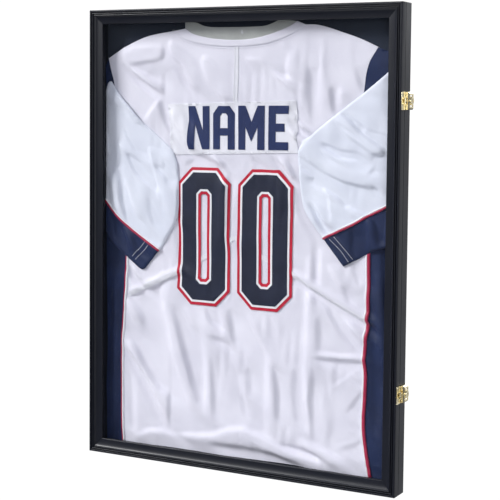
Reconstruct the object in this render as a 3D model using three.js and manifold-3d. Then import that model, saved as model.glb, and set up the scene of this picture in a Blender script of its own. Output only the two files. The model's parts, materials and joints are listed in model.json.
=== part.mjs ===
// A wall-hung jersey display frame: a shallow mitred wooden case with a felt-covered backing board, a moulded
// door glazed with clear acrylic, two butt hinges on the left, two keyed hasps on the right, and a folded
// jersey on a flat hanger inside. Millimetres. X runs to the viewer's right, Z up, and the front faces -Y.
// The origin is the centre of the flat back, which lies against the wall.
import * as THREE from 'three';
import { mergeVertices } from 'three/addons/utils/BufferGeometryUtils.js';
import Module from 'manifold-3d';

const wasm = await Module();
wasm.setup();

// ---- Driving dimensions ----
const WIDTH = 600;
const HEIGHT = 800;
const DEPTH = 39;
const CASE_DEPTH = 22.2;
const PARTING_GAP = 0.6; // between the closed door and the case
const GAP = 0.3; // between pieces that touch
const EDGE_ROUND = 1.2; // on the door's outer front edge
const EDGE_BREAK = 0.5; // small chamfers either side of the parting line

const CASE_WALL = 18;
const REBATE_WIDTH = 5; // in the back of the case, for the two boards
const REBATE_DEPTH = 6.6;
const BOARD = 3; // thickness of the back panel and of the backing board

const RAIL_FACE = 25; // width of the door's moulding, seen from the front
const RAIL_BACK = 19; // width of the moulding behind the glazing rebate
const LIP_BACK = 8; // depth of the glazing rebate's front wall
const LIP_FRONT = 5.3;
const ACRYLIC = 2.5;
const BEAD_WIDTH = 5;

const HINGE_HEIGHT = 38;
const HINGE_Z = 260; // height of each hinge above and below the middle
const HINGE_LEAF = { width: 12, thickness: 0.9 };
const HINGE_KNUCKLE = { radius: 2.2, bore: 1.1, pin: 0.8, offset: 2.6 };

const LATCH_Z = { upper: 243, lower: -232 };
const LATCH_HALF = 14.5; // half the height of a hasp leaf
const HASP_AXIS = { x: 3.7, y: -29.5, radius: 1.9, bore: 0.95, pin: 0.65 };
const FLAP = { front: -22.2, back: -1.2, base: 0.5, top: 7.5, half: 14.2, bevel: 2.5, wall: 2 };
const FLAP_SLOT = { z: 8.2, width: 1.7, length: 13 };
const BARREL = { y: -15, radius: 6, bore: 4.5, plug: 4.2, top: 10.5 };
const CATCH = { front: -19, back: -2.5, half: 10.8, base: 1, lug: 1, lip: 3.2, top: 4.9, lugLength: 8 };
const CAM = { reach: 8, width: 5.4, thickness: 1.2, x: 2.5, stem: 1.6 };

const SCREW = { head: 2, headHeight: 1.1, shank: 0.9, length: 8, slot: 0.6 };

const KEYHOLE = { z: 330, inset: 6.5, width: 12, height: 42, thickness: 1.5, hole: 4, slot: 2.1, rise: 12 };
const KEYHOLE_POCKET = { radius: 4.6, depth: 8 };

const HANGER = { z: 352, drop: 38, half: 190, bar: 9, thickness: 6, back: -8, hub: 9 };
const PEG = { radius: 1.8, head: 3.4, headLength: 1.3 };

const JERSEY = { half: 276, hem: -377, shoulder: 316, neck: 376, neckHalf: 105, back: -7.2, front: -16.8 };
const SLEEVE = { back: -17.1, front: -22.6 };

const CASE_FRONT = -CASE_DEPTH;
const DOOR_BACK = CASE_FRONT - PARTING_GAP;
const DOOR_FRONT = -DEPTH;
const SIDE = WIDTH / 2;

// ---- Finishes ----
function finish(color, roughness, metalness = 0) {
  return new THREE.MeshStandardMaterial({ color, roughness, metalness });
}
const blackWood = finish(0x17181b, 0.38);
const fibreboard = finish(0x6b4f38, 0.85);
const felt = finish(0x141b2b, 0.95);
const clearAcrylic = new THREE.MeshStandardMaterial({
  color: 0xf4f8fa, roughness: 0.05, metalness: 0, transparent: true, opacity: 0.2,
});
const brass = finish(0xd9bf7a, 0.25, 1);
const steel = finish(0x9a9da1, 0.35, 1);
const blackPlastic = finish(0x202124, 0.5);
const whiteKnit = finish(0xe9e9ef, 0.85);

// ---- Solids ----
function toSolid(geometry) {
  const bare = geometry.clone();
  bare.deleteAttribute('normal');
  bare.deleteAttribute('uv');
  const merged = mergeVertices(bare, 1e-4);
  return new wasm.Manifold(new wasm.Mesh({
    numProp: 3,
    vertProperties: new Float32Array(merged.attributes.position.array),
    triVerts: new Uint32Array(merged.index.array),
  }));
}

function toGeometry(solid) {
  const mesh = solid.getMesh();
  const geometry = new THREE.BufferGeometry();
  geometry.setAttribute('position', new THREE.BufferAttribute(new Float32Array(mesh.vertProperties), 3));
  geometry.setIndex(new THREE.BufferAttribute(new Uint32Array(mesh.triVerts), 1));
  geometry.computeVertexNormals();
  return geometry;
}

function join(...geometries) {
  return toGeometry(geometries.map(toSolid).reduce((whole, next) => whole.add(next)));
}

function cut(geometry, ...tools) {
  return toGeometry(tools.map(toSolid).reduce((rest, tool) => rest.subtract(tool), toSolid(geometry)));
}

// A box between two corners.
function block(x0, x1, y0, y1, z0, z1) {
  return new THREE.BoxGeometry(x1 - x0, y1 - y0, z1 - z0)
    .translate((x0 + x1) / 2, (y0 + y1) / 2, (z0 + z1) / 2);
}

// A round bar along one axis, from one place on it to another, with its centre at the other two coordinates.
function bar(axis, from, to, radius, a, b, sides = 20) {
  const rod = new THREE.CylinderGeometry(radius, radius, to - from, sides).translate(0, (from + to) / 2, 0);
  if (axis === 'x') return rod.rotateZ(-Math.PI / 2).translate(0, a, b);
  if (axis === 'z') return rod.rotateX(Math.PI / 2).translate(a, b, 0);
  return rod.translate(a, 0, b);
}

// An outline drawn in X and Z, made into a slab that runs from yBack towards the front.
function slab(shape, yBack, thickness, curveSegments = 8) {
  return new THREE.ExtrudeGeometry(shape, { depth: thickness, bevelEnabled: false, curveSegments })
    .rotateX(Math.PI / 2)
    .translate(0, yBack, 0);
}

// An outline drawn in Y and Z, made into a plate that runs from x0 outwards.
function sidePlate(shape, x0, thickness) {
  const turn = new THREE.Matrix4().makeBasis(
    new THREE.Vector3(0, 1, 0),
    new THREE.Vector3(0, 0, 1),
    new THREE.Vector3(1, 0, 0),
  );
  return new THREE.ExtrudeGeometry(shape, { depth: thickness, bevelEnabled: false, curveSegments: 4 })
    .applyMatrix4(turn)
    .translate(x0, 0, 0);
}

function roundedRectangle(x0, x1, y0, y1, radius) {
  const shape = new THREE.Shape();
  shape.moveTo(x0 + radius, y0);
  shape.lineTo(x1 - radius, y0);
  shape.absarc(x1 - radius, y0 + radius, radius, -Math.PI / 2, 0);
  shape.lineTo(x1, y1 - radius);
  shape.absarc(x1 - radius, y1 - radius, radius, 0, Math.PI / 2);
  shape.lineTo(x0 + radius, y1);
  shape.absarc(x0 + radius, y1 - radius, radius, Math.PI / 2, Math.PI);
  shape.lineTo(x0, y0 + radius);
  shape.absarc(x0 + radius, y0 + radius, radius, Math.PI, Math.PI * 1.5);
  return shape;
}

function polygon(points) {
  return new THREE.Shape(points.map(([x, y]) => new THREE.Vector2(x, y)));
}

// ---- The scene graph ----
const frame = new THREE.Group();
const door = new THREE.Group();
frame.add(door);

function piece(name, geometry, material, parent = frame) {
  const mesh = new THREE.Mesh(geometry, material);
  mesh.name = name;
  parent.add(mesh);
  return mesh;
}

// ---- Countersunk wood screws ----
// A screw stands with the middle of its head at the origin and the head facing +Y.
function screwProfile(extra) {
  return [
    [0, -SCREW.length - extra],
    [SCREW.shank + extra, -SCREW.length + 1.2 - extra],
    [SCREW.shank + extra, -SCREW.headHeight],
    [SCREW.head + extra, 0],
  ].map(([r, y]) => new THREE.Vector2(r, y));
}

function screwGeometry() {
  const body = new THREE.LatheGeometry([...screwProfile(0), new THREE.Vector2(0, 0)], 12);
  const half = SCREW.slot / 2;
  const reach = SCREW.head + 1;
  return cut(body, block(-reach, reach, -SCREW.slot, 1, -half, half));
}

// The hole that a screw needs, open above its head.
function screwHole(at, facing) {
  const extra = 0.3;
  const profile = [...screwProfile(extra), new THREE.Vector2(SCREW.head + extra, 6), new THREE.Vector2(0, 6)];
  const turn = new THREE.Quaternion().setFromUnitVectors(new THREE.Vector3(0, 1, 0), facing);
  return new THREE.LatheGeometry(profile, 12).applyQuaternion(turn).translate(at.x, at.y, at.z);
}

function screw(name, at, facing, material, parent = frame) {
  const mesh = piece(name, screwGeometry(), material, parent);
  mesh.position.copy(at);
  mesh.quaternion.setFromUnitVectors(new THREE.Vector3(0, 1, 0), facing);
}

const OUT = new THREE.Vector3(1, 0, 0);
const BACK = new THREE.Vector3(0, 1, 0);
const FRONT = new THREE.Vector3(0, -1, 0);

// ---- Mitred rails ----
// One rail of a rectangular frame. The section is drawn with u, inwards from the outer edge, and y. The rail
// is made as the left one, its ends are cut at 45 degrees, and it is then turned round to its own side.
const SIDES = {
  left: { reach: WIDTH / 2, span: HEIGHT, turn: 0 },
  top: { reach: HEIGHT / 2, span: WIDTH, turn: Math.PI / 2 },
  right: { reach: WIDTH / 2, span: HEIGHT, turn: Math.PI },
  bottom: { reach: HEIGHT / 2, span: WIDTH, turn: -Math.PI / 2 },
};

function mitredRail(section, side) {
  const { reach, span, turn } = SIDES[side];
  const shape = polygon(section.map(([u, y]) => [u - reach, y]));
  const rail = new THREE.ExtrudeGeometry(shape, { depth: 2, bevelEnabled: false }).translate(0, 0, -1);
  const position = rail.attributes.position;
  for (let i = 0; i < position.count; i += 1) {
    const u = position.getX(i) + reach;
    position.setZ(i, Math.sign(position.getZ(i)) * (span / 2 - u - GAP * Math.SQRT1_2));
  }
  return rail.rotateY(turn);
}

function caseSection() {
  const rebate = CASE_WALL - REBATE_WIDTH;
  return [
    [0, 0],
    [rebate, 0],
    [rebate, -REBATE_DEPTH],
    [CASE_WALL, -REBATE_DEPTH],
    [CASE_WALL, CASE_FRONT],
    [EDGE_BREAK, CASE_FRONT],
    [0, CASE_FRONT + EDGE_BREAK],
  ];
}

// The moulding, from its outer edge inwards: a flat outer rib, a groove, a narrow rib, a second groove, and a
// broad cove that drops steeply at its rim and then flattens towards the opening. Depth counts from the
// front.
function doorSection() {
  const points = [[0, DOOR_BACK + DEPTH - EDGE_BREAK]];
  const add = (u, depth) => points.push([u, depth]);
  const arc = (u, depth, radius, from, to, steps) => {
    for (let i = 0; i <= steps; i += 1) {
      const angle = from + ((to - from) * i) / steps;
      add(u + radius * Math.cos(angle), depth - radius * Math.sin(angle));
    }
  };
  arc(EDGE_ROUND, EDGE_ROUND, EDGE_ROUND, Math.PI, Math.PI / 2, 4);
  arc(3, 0.7, 0.7, Math.PI / 2, 0, 3);
  add(3.8, 3.4);
  add(5.2, 3.4);
  arc(6.1, 1.1, 0.85, Math.PI, 0, 6);
  add(7.1, 3.8);
  add(8.6, 3.8);
  arc(9.3, 1.3, 0.6, Math.PI, Math.PI / 2, 2);
  const cove = new THREE.QuadraticBezierCurve(
    new THREE.Vector2(10.2, 1),
    new THREE.Vector2(11.6, 4.2),
    new THREE.Vector2(24, LIP_FRONT),
  );
  cove.getPoints(12).forEach(({ x, y }) => add(x, y));
  arc(24, LIP_FRONT + 1, 1, Math.PI * 0.4, 0, 3);
  add(RAIL_FACE, LIP_BACK);
  add(RAIL_BACK, LIP_BACK);
  add(RAIL_BACK, DOOR_BACK + DEPTH);
  add(EDGE_BREAK, DOOR_BACK + DEPTH);
  return points.map(([u, depth]) => [u, DOOR_FRONT + depth]);
}

const caseCuts = { left: [], top: [], right: [], bottom: [] };
const doorCuts = { left: [], top: [], right: [], bottom: [] };

// ---- Hinges ----
// Two leaves let into the meeting faces, with three knuckles outside the left edge.
function hinge(name, z) {
  const hinges = new THREE.Group();
  hinges.position.z = z;
  frame.add(hinges);
  const axis = { x: -SIDE - HINGE_KNUCKLE.offset, y: (CASE_FRONT + DOOR_BACK) / 2 };
  const half = HINGE_HEIGHT / 2;
  const third = HINGE_HEIGHT / 6;
  const outerKnuckles = [[-half, -third - GAP / 2], [third + GAP / 2, half]];
  const middleKnuckle = [[-third + GAP / 2, third - GAP / 2]];
  const inner = -SIDE + HINGE_LEAF.width;
  const parts = [
    { leaf: 'case', face: CASE_FRONT, into: 1, knuckles: outerKnuckles, facing: FRONT, rail: caseCuts.left },
    { leaf: 'door', face: DOOR_BACK, into: -1, knuckles: middleKnuckle, facing: BACK, rail: doorCuts.left },
  ];
  for (const { leaf, face, into, knuckles, facing, rail } of parts) {
    const near = face + into * 0.05;
    const far = near + into * HINGE_LEAF.thickness;
    const low = Math.min(near, far);
    const high = Math.max(near, far);
    const plate = block(axis.x + HINGE_KNUCKLE.radius + 0.25, inner, low, high, -half, half);
    const rolled = knuckles.flatMap(([z0, z1]) => [
      bar('z', z0, z1, HINGE_KNUCKLE.radius, axis.x, axis.y),
      block(axis.x + HINGE_KNUCKLE.bore, axis.x + HINGE_KNUCKLE.radius + 1, low, high, z0, z1),
    ]);
    const screwsAt = [-half + 7, half - 7].map((dz) => new THREE.Vector3(inner - 5, near, dz));
    const bore = bar('z', -half - 1, half + 1, HINGE_KNUCKLE.bore, axis.x, axis.y);
    const holes = screwsAt.map((at) => screwHole(at, facing));
    piece(`${name}_${leaf}_leaf`, cut(join(plate, ...rolled), bore, ...holes), brass, hinges);
    screwsAt.forEach((at, i) => {
      screw(`${name}_${leaf}_screw_${i ? 'top' : 'bottom'}`, at, facing, brass, hinges);
    });
    const mortise = block(
      -SIDE - 1, inner + GAP,
      Math.min(face - into, far + into * GAP), Math.max(face - into, far + into * GAP),
      -half - GAP, half + GAP,
    );
    rail.push(...[mortise, ...holes].map((tool) => tool.clone().translate(0, 0, z)));
  }
  const pin = join(
    bar('z', -half - 0.6, half + 0.6, HINGE_KNUCKLE.pin, axis.x, axis.y, 12),
    bar('z', half + GAP, half + 1.5, HINGE_KNUCKLE.bore + 0.6, axis.x, axis.y, 16),
    bar('z', -half - 1.5, -half - GAP, HINGE_KNUCKLE.bore + 0.6, axis.x, axis.y, 16),
  );
  piece(`${name}_pin`, pin, brass, hinges);
}

hinge('upper_hinge', HINGE_Z);
hinge('lower_hinge', -HINGE_Z);

// ---- Keyed hasps ----
// A leaf on the door's side carries a flap with a key barrel. The closed flap covers a catch plate on the
// case's side, and the cam behind the barrel turns from pointing rearwards to lie under the catch's upper
// lip. Local X runs out from the side face.
function haspKnuckle(z0, z1, foot) {
  const { x, y, radius } = HASP_AXIS;
  return join(bar('z', z0, z1, radius, x, y), block(foot.x0, foot.x1, y - foot.reach, y + radius, z0, z1));
}

function haspLeaf(holes) {
  const plate = sidePlate(
    roundedRectangle(DOOR_FRONT + 0.6, DOOR_BACK - 0.4, -LATCH_HALF, LATCH_HALF, 2),
    GAP, 1.2,
  );
  const foot = { x0: 1, x1: HASP_AXIS.x, reach: HASP_AXIS.radius };
  const bore = bar('z', -10, 10, HASP_AXIS.bore, HASP_AXIS.x, HASP_AXIS.y);
  return cut(join(plate, haspKnuckle(3.2, 5.4, foot), haspKnuckle(-5.4, -3.2, foot)), bore, ...holes);
}

// Wedges that bevel the flap's outer edges: upper and lower ends, then front and back.
function endWedge(side) {
  const { front, back, top, half, bevel } = FLAP;
  const outline = polygon([
    [top - bevel - 1, side * (half + 1)],
    [top + 1, side * (half + 1)],
    [top + 1, side * (half - bevel - 1)],
  ]);
  return slab(outline, back + 1, back - front + 2);
}

function edgeWedge(edge, inwards) {
  const { top, half, bevel } = FLAP;
  const outline = polygon([
    [top - bevel - 1, edge - inwards],
    [top + 1, edge - inwards],
    [top + 1, edge + inwards * (bevel + 1)],
  ]);
  return new THREE.ExtrudeGeometry(outline, { depth: 2 * half + 2, bevelEnabled: false })
    .translate(0, 0, -half - 1);
}

function haspFlap() {
  const { front, back, base, top, half, wall } = FLAP;
  const shell = cut(
    block(base, top, front, back, -half, half),
    endWedge(-1),
    endWedge(1),
    edgeWedge(front, 1),
    edgeWedge(back, -1),
  );
  const hollow = block(base - 1, top - wall, front + wall, back + 1, -half + 2.5, half - 2.5);
  const slots = [-1, 1].map((side) => block(
    0, top + 1,
    (front + back - FLAP_SLOT.length) / 2, (front + back + FLAP_SLOT.length) / 2,
    side * FLAP_SLOT.z - FLAP_SLOT.width / 2, side * FLAP_SLOT.z + FLAP_SLOT.width / 2,
  ));
  const { x, y, radius } = HASP_AXIS;
  const knuckle = haspKnuckle(-2.9, 2.9, { x0: x - 1, x1: x + 1, reach: 0 });
  const neck = block(x - 1, x + 1, y, front + 1, -2.9, 2.9);
  const barrel = bar('x', top - wall, BARREL.top, BARREL.radius, BARREL.y, 0, 32);
  const pinBore = bar('z', -10, 10, HASP_AXIS.bore, x, y);
  const plugBore = bar('x', base, BARREL.top + 1, BARREL.bore, BARREL.y, 0, 28);
  return cut(join(cut(shell, hollow, ...slots), knuckle, neck, barrel), pinBore, plugBore);
}

function lockPlug() {
  const body = join(
    bar('x', CAM.x + CAM.thickness + GAP, BARREL.top - GAP, BARREL.plug, 0, 0, 28),
    bar('x', CAM.x - 0.4, CAM.x + CAM.thickness + 1, CAM.stem, 0, 0, 12),
  );
  const keyway = block(BARREL.top - 4, BARREL.top + 1, -0.5, 0.5, -2.6, 2.2);
  const keyhole = bar('x', BARREL.top - 4, BARREL.top + 1, 1, 0, 1.8, 12);
  return cut(body, join(keyway, keyhole));
}

function lockCam() {
  const arm = sidePlate(
    roundedRectangle(-CAM.width / 2, CAM.reach, -CAM.width / 2, CAM.width / 2, 1.4),
    CAM.x, CAM.thickness,
  );
  return cut(arm, bar('x', CAM.x - 1, CAM.x + 3, CAM.stem + GAP, 0, 0, 12));
}

function catchPlate(holes) {
  const { front, back, half, base, lug, lip, top, lugLength } = CATCH;
  const low = GAP;
  const plate = block(low, low + base, front, back, -half, half);
  const y0 = BARREL.y - lugLength / 2;
  const lugs = [-1, 1].flatMap((side) => {
    const outer = side * (half - 0.6);
    const reach = (a, b) => [Math.min(a, b), Math.max(a, b)];
    return [
      block(low, top, y0, y0 + lugLength, ...reach(outer, outer - side * lug)),
      block(top - 0.9, top, y0, y0 + lugLength, ...reach(outer, outer - side * lip)),
    ];
  });
  return cut(join(plate, ...lugs), ...holes);
}

function latch(name, z) {
  const onDoor = new THREE.Group();
  onDoor.position.set(SIDE, 0, z);
  door.add(onDoor);
  const onCase = new THREE.Group();
  onCase.position.set(SIDE, 0, z);
  frame.add(onCase);

  const leafScrews = [-8.8, 8.8].map((dz) => new THREE.Vector3(GAP + 1.2, -26.3, dz));
  const leafHoles = leafScrews.map((at) => screwHole(at, OUT));
  piece(`${name}_hasp_leaf`, haspLeaf(leafHoles), brass, onDoor);
  leafScrews.forEach((at, i) => screw(`${name}_leaf_screw_${i ? 'top' : 'bottom'}`, at, OUT, brass, onDoor));

  const catchScrews = [-15, -5.5].map((y) => new THREE.Vector3(GAP + CATCH.base, y, 0));
  const catchHoles = catchScrews.map((at) => screwHole(at, OUT));
  piece(`${name}_catch_plate`, catchPlate(catchHoles), brass, onCase);
  catchScrews.forEach((at, i) => {
    screw(`${name}_catch_screw_${i ? 'back' : 'front'}`, at, OUT, brass, onCase);
  });

  const { x, y, pin } = HASP_AXIS;
  piece(`${name}_hasp_pin`, bar('z', -5.4, 5.4, pin, x, y, 12), steel, onDoor);
  piece(`${name}_hasp_flap`, haspFlap(), brass, onDoor);

  const lock = new THREE.Group();
  lock.position.y = BARREL.y;
  onDoor.add(lock);
  piece(`${name}_lock_plug`, lockPlug(), brass, lock);
  piece(`${name}_lock_cam`, lockCam(), steel, lock);

  doorCuts.right.push(...leafHoles.map((hole) => hole.clone().translate(SIDE, 0, z)));
  caseCuts.right.push(...catchHoles.map((hole) => hole.clone().translate(SIDE, 0, z)));
}

latch('upper', LATCH_Z.upper);
latch('lower', LATCH_Z.lower);

// ---- Keyhole hangers ----
// Two steel plates let into the back of the side rails. Each hangs on the head of a screw in the wall.
function keyholeOutline() {
  const { width, height, hole, slot, rise } = KEYHOLE;
  const plate = roundedRectangle(-width / 2, width / 2, -height / 2, height / 2, 3);
  const keyhole = new THREE.Path();
  const meet = Math.asin(slot / hole);
  const low = -rise / 2;
  keyhole.absarc(0, low, hole, Math.PI / 2 + meet, Math.PI / 2 - meet + 2 * Math.PI, false);
  keyhole.absarc(0, low + rise, slot, 0, Math.PI, false);
  keyhole.closePath();
  plate.holes.push(keyhole);
  return plate;
}

function keyholePlate(side, direction) {
  const { z, inset, width, height, thickness, rise } = KEYHOLE;
  const x = direction * (SIDE - inset);
  const surface = -0.1;
  const screwsAt = [-height / 2 + 4.5, height / 2 - 4.5].map((dz) => new THREE.Vector3(0, surface, dz));
  const holes = screwsAt.map((at) => screwHole(at, BACK));
  const group = new THREE.Group();
  group.position.set(x, 0, z);
  frame.add(group);
  piece(`keyhole_plate_${side}`, cut(slab(keyholeOutline(), surface, thickness, 6), ...holes), steel, group);
  screwsAt.forEach((at, i) => {
    screw(`keyhole_screw_${side}_${i ? 'top' : 'bottom'}`, at, BACK, steel, group);
  });
  const recess = slab(
    roundedRectangle(-width / 2 - GAP, width / 2 + GAP, -height / 2 - GAP, height / 2 + GAP, 3),
    1, thickness + 1 + 0.1 + GAP,
  );
  const { radius, depth } = KEYHOLE_POCKET;
  const pocketHalf = rise / 2 + radius;
  const pocket = slab(roundedRectangle(-radius, radius, -pocketHalf, pocketHalf, radius), 1, depth + 1);
  caseCuts[side].push(...[recess, pocket, ...holes].map((tool) => tool.clone().translate(x, 0, z)));
}

keyholePlate('left', -1);
keyholePlate('right', 1);

// ---- The case ----
for (const side of Object.keys(SIDES)) {
  const rail = mitredRail(caseSection(), side);
  piece(`case_rail_${side}`, caseCuts[side].length ? cut(rail, ...caseCuts[side]) : rail, blackWood);
}

const boardX = SIDE - CASE_WALL + REBATE_WIDTH - GAP;
const boardZ = HEIGHT / 2 - CASE_WALL + REBATE_WIDTH - GAP;
const boardFront = -2 * BOARD - GAP;
const pegZ = HANGER.z + 6;
piece('back_panel', block(-boardX, boardX, -BOARD, 0, -boardZ, boardZ), fibreboard);
piece('backing_board', cut(
  block(-boardX, boardX, boardFront, -BOARD - GAP, -boardZ, boardZ),
  bar('y', boardFront - 1, 0, PEG.radius + GAP, 0, pegZ, 16),
), felt);

// ---- The door ----
for (const side of Object.keys(SIDES)) {
  const rail = mitredRail(doorSection(), side);
  piece(`door_rail_${side}`, doorCuts[side].length ? cut(rail, ...doorCuts[side]) : rail, blackWood, door);
}

const paneX = SIDE - RAIL_BACK - GAP;
const paneZ = HEIGHT / 2 - RAIL_BACK - GAP;
const paneFront = DOOR_FRONT + LIP_BACK + GAP;
const paneBack = paneFront + ACRYLIC;
piece('acrylic_pane', block(-paneX, paneX, paneFront, paneBack, -paneZ, paneZ), clearAcrylic, door);

function beadSection() {
  const outer = RAIL_BACK + GAP;
  const low = paneBack + GAP;
  const high = DOOR_BACK - GAP;
  return [
    [outer, low],
    [outer + BEAD_WIDTH, low],
    [outer + BEAD_WIDTH, high - 1.5],
    [outer + BEAD_WIDTH - 1.5, high],
    [outer, high],
  ];
}
for (const side of Object.keys(SIDES)) {
  piece(`pane_bead_${side}`, mitredRail(beadSection(), side), blackWood, door);
}

// ---- The hanger ----
function hangerOutline(extra) {
  const { z, drop, half, bar: deep } = HANGER;
  const top = z + deep / 2 + extra;
  const low = z - deep / 2 - extra;
  const end = half + extra;
  const shape = new THREE.Shape();
  shape.moveTo(0, top);
  shape.quadraticCurveTo(-half * 0.45, top - drop * 0.2, -end, top - drop);
  shape.lineTo(-end, low - drop);
  shape.quadraticCurveTo(-half * 0.45, low - drop * 0.2, 0, low);
  shape.quadraticCurveTo(half * 0.45, low - drop * 0.2, end, low - drop);
  shape.lineTo(end, top - drop);
  shape.quadraticCurveTo(half * 0.45, top - drop * 0.2, 0, top);
  return shape;
}

piece('hanger', cut(
  join(
    slab(hangerOutline(0), HANGER.back, HANGER.thickness),
    bar('y', HANGER.back - HANGER.thickness, HANGER.back, HANGER.hub, 0, pegZ, 24),
  ),
  bar('y', HANGER.back - HANGER.thickness - 1, HANGER.back + 1, PEG.radius + 0.5, 0, pegZ, 16),
), blackPlastic);

const pegFront = HANGER.back - HANGER.thickness - 0.4;
piece('hanger_peg', join(
  bar('y', pegFront - PEG.headLength, -BOARD - GAP - 0.5, PEG.radius, 0, pegZ, 16),
  bar('y', pegFront - PEG.headLength, pegFront, PEG.head, 0, pegZ, 20),
), steel);

// ---- The jersey ----
// A garment folded to fit: a flat torso with its hem turned up, and two short sleeves laid over its front.
function torsoOutline() {
  const { half, hem, shoulder, neck, neckHalf } = JERSEY;
  return polygon([
    [-half, hem],
    [half, hem],
    [half, shoulder],
    [neckHalf, neck],
    [-neckHalf, neck],
    [-half, shoulder],
  ]);
}

const clearance = 1.2;
piece('jersey_torso', cut(
  slab(torsoOutline(), JERSEY.back, JERSEY.back - JERSEY.front),
  slab(hangerOutline(clearance), 0, -(HANGER.back - HANGER.thickness) + 1.2),
  bar('y', HANGER.back - HANGER.thickness - 2.1, 0, HANGER.hub + clearance, 0, pegZ, 24),
), whiteKnit);

const sleeveThickness = SLEEVE.back - SLEEVE.front;
const leftSleeve = polygon([
  [-276, 290], [-278, 215], [-278, 60], [-262, -5], [-203, -61], [-165, -25],
  [-124, 36], [-127, 124], [-144, 151], [-199, 199], [-252, 262],
]);
const rightSleeve = polygon([
  [274, 300], [225, 255], [184, 225], [130, 183], [125, 163], [122, 73],
  [156, 13], [195, -29], [239, -10], [276, 6], [276, 215],
]);
piece('jersey_sleeve_left', slab(leftSleeve, SLEEVE.back, sleeveThickness), whiteKnit);
piece('jersey_sleeve_right', slab(rightSleeve, SLEEVE.back, sleeveThickness), whiteKnit);

export default frame;
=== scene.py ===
"""Looks for the jersey display frame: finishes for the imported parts, the jersey as sewn cloth, and a plain
white studio. The jersey's lengths are millimetres in the part's own frame, and u and v are a cloth point's x
and z. Finishes, lights and the camera are in metres."""
import json
import math

import bpy
import numpy as np
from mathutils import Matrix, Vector
from mathutils.geometry import delaunay_2d_cdt


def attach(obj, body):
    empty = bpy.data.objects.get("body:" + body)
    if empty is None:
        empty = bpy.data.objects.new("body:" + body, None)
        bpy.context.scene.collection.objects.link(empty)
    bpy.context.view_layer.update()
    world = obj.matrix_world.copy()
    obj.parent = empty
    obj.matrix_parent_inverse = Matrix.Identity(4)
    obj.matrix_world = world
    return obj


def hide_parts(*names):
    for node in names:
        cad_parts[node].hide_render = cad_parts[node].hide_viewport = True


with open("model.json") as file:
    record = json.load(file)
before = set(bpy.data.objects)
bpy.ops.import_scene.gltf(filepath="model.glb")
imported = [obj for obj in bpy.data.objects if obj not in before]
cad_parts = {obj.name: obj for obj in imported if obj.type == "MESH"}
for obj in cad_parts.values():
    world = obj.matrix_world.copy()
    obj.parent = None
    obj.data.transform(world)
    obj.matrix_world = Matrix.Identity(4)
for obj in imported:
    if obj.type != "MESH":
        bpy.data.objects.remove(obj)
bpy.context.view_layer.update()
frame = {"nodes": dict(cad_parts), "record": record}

MM = 0.001


# ---- camera and stage ----

def make_camera():
    data = bpy.data.cameras.new("camera")
    data.lens = 97.35
    data.sensor_width = 36.0
    data.shift_y = -0.1
    data.clip_start = 0.01
    data.clip_end = 50.0
    camera = bpy.data.objects.new("camera", data)
    camera.location = (1.1112, -2.0457, 0.2376)
    camera.rotation_euler = [math.radians(a) for a in (85.89, -0.52, 28.36)]
    bpy.context.scene.collection.objects.link(camera)
    bpy.context.scene.camera = camera


def area_light(name, place, aim, size, power):
    data = bpy.data.lights.new(name, "AREA")
    data.shape = "RECTANGLE"
    data.size, data.size_y = size
    data.energy = power
    light = bpy.data.objects.new(name, data)
    light.location = place
    light.rotation_euler = (Vector(aim) - Vector(place)).to_track_quat("-Z", "Y").to_euler()
    bpy.context.scene.collection.objects.link(light)
    return light


def make_lights():
    """Soft light from the upper left. The card is there for the reflection in the black rails alone."""
    area_light("key_light", (-5.0, -3.4, 4.2), (0.0, 0.0, 0.0), (2.4, 2.4), 700.0)
    card = area_light("card_light", (-1.0, -2.7, 0.9), (0.2, 0.0, 0.4), (1.1, 0.4), 12.0)
    card.visible_diffuse = False
    area_light("fill_light", (1.9, -2.2, 0.3), (0.0, 0.0, 0.0), (1.6, 2.2), 24.0)
    area_light("side_light", (1.7, 2.5, -0.5), (0.3, 0.0, -0.2), (1.4, 2.0), 5.0)
    area_light("back_light", (0.0, 2.4, 1.2), (0.0, 0.0, 0.0), (2.0, 1.6), 35.0)


def make_world():
    """White where it is seen. The light that it gives is a grey room's, brighter overhead than below."""
    world = bpy.data.worlds.new("studio")
    bpy.context.scene.world = world
    world.use_nodes = True
    tree = world.node_tree
    tree.nodes.clear()
    add = tree.nodes.new
    link = tree.links.new
    output = add("ShaderNodeOutputWorld")
    mix = add("ShaderNodeMixShader")
    path = add("ShaderNodeLightPath")
    room = add("ShaderNodeBackground")
    white = add("ShaderNodeBackground")
    place = add("ShaderNodeTexCoord")
    apart = add("ShaderNodeSeparateXYZ")
    rise = add("ShaderNodeMapRange")
    room.inputs["Color"].default_value = (0.84, 0.89, 1.04, 1.0)
    for name, value in (("From Min", -0.06), ("From Max", 0.30), ("To Min", 0.13), ("To Max", 0.52)):
        rise.inputs[name].default_value = value
    link(place.outputs["Generated"], apart.inputs["Vector"])
    link(apart.outputs["Z"], rise.inputs["Value"])
    link(rise.outputs["Result"], room.inputs["Strength"])
    white.inputs["Color"].default_value = (1.0, 1.0, 1.0, 1.0)
    white.inputs["Strength"].default_value = 1.05
    link(path.outputs["Is Camera Ray"], mix.inputs["Fac"])
    link(room.outputs["Background"], mix.inputs[1])
    link(white.outputs["Background"], mix.inputs[2])
    link(mix.outputs["Shader"], output.inputs["Surface"])


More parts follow.
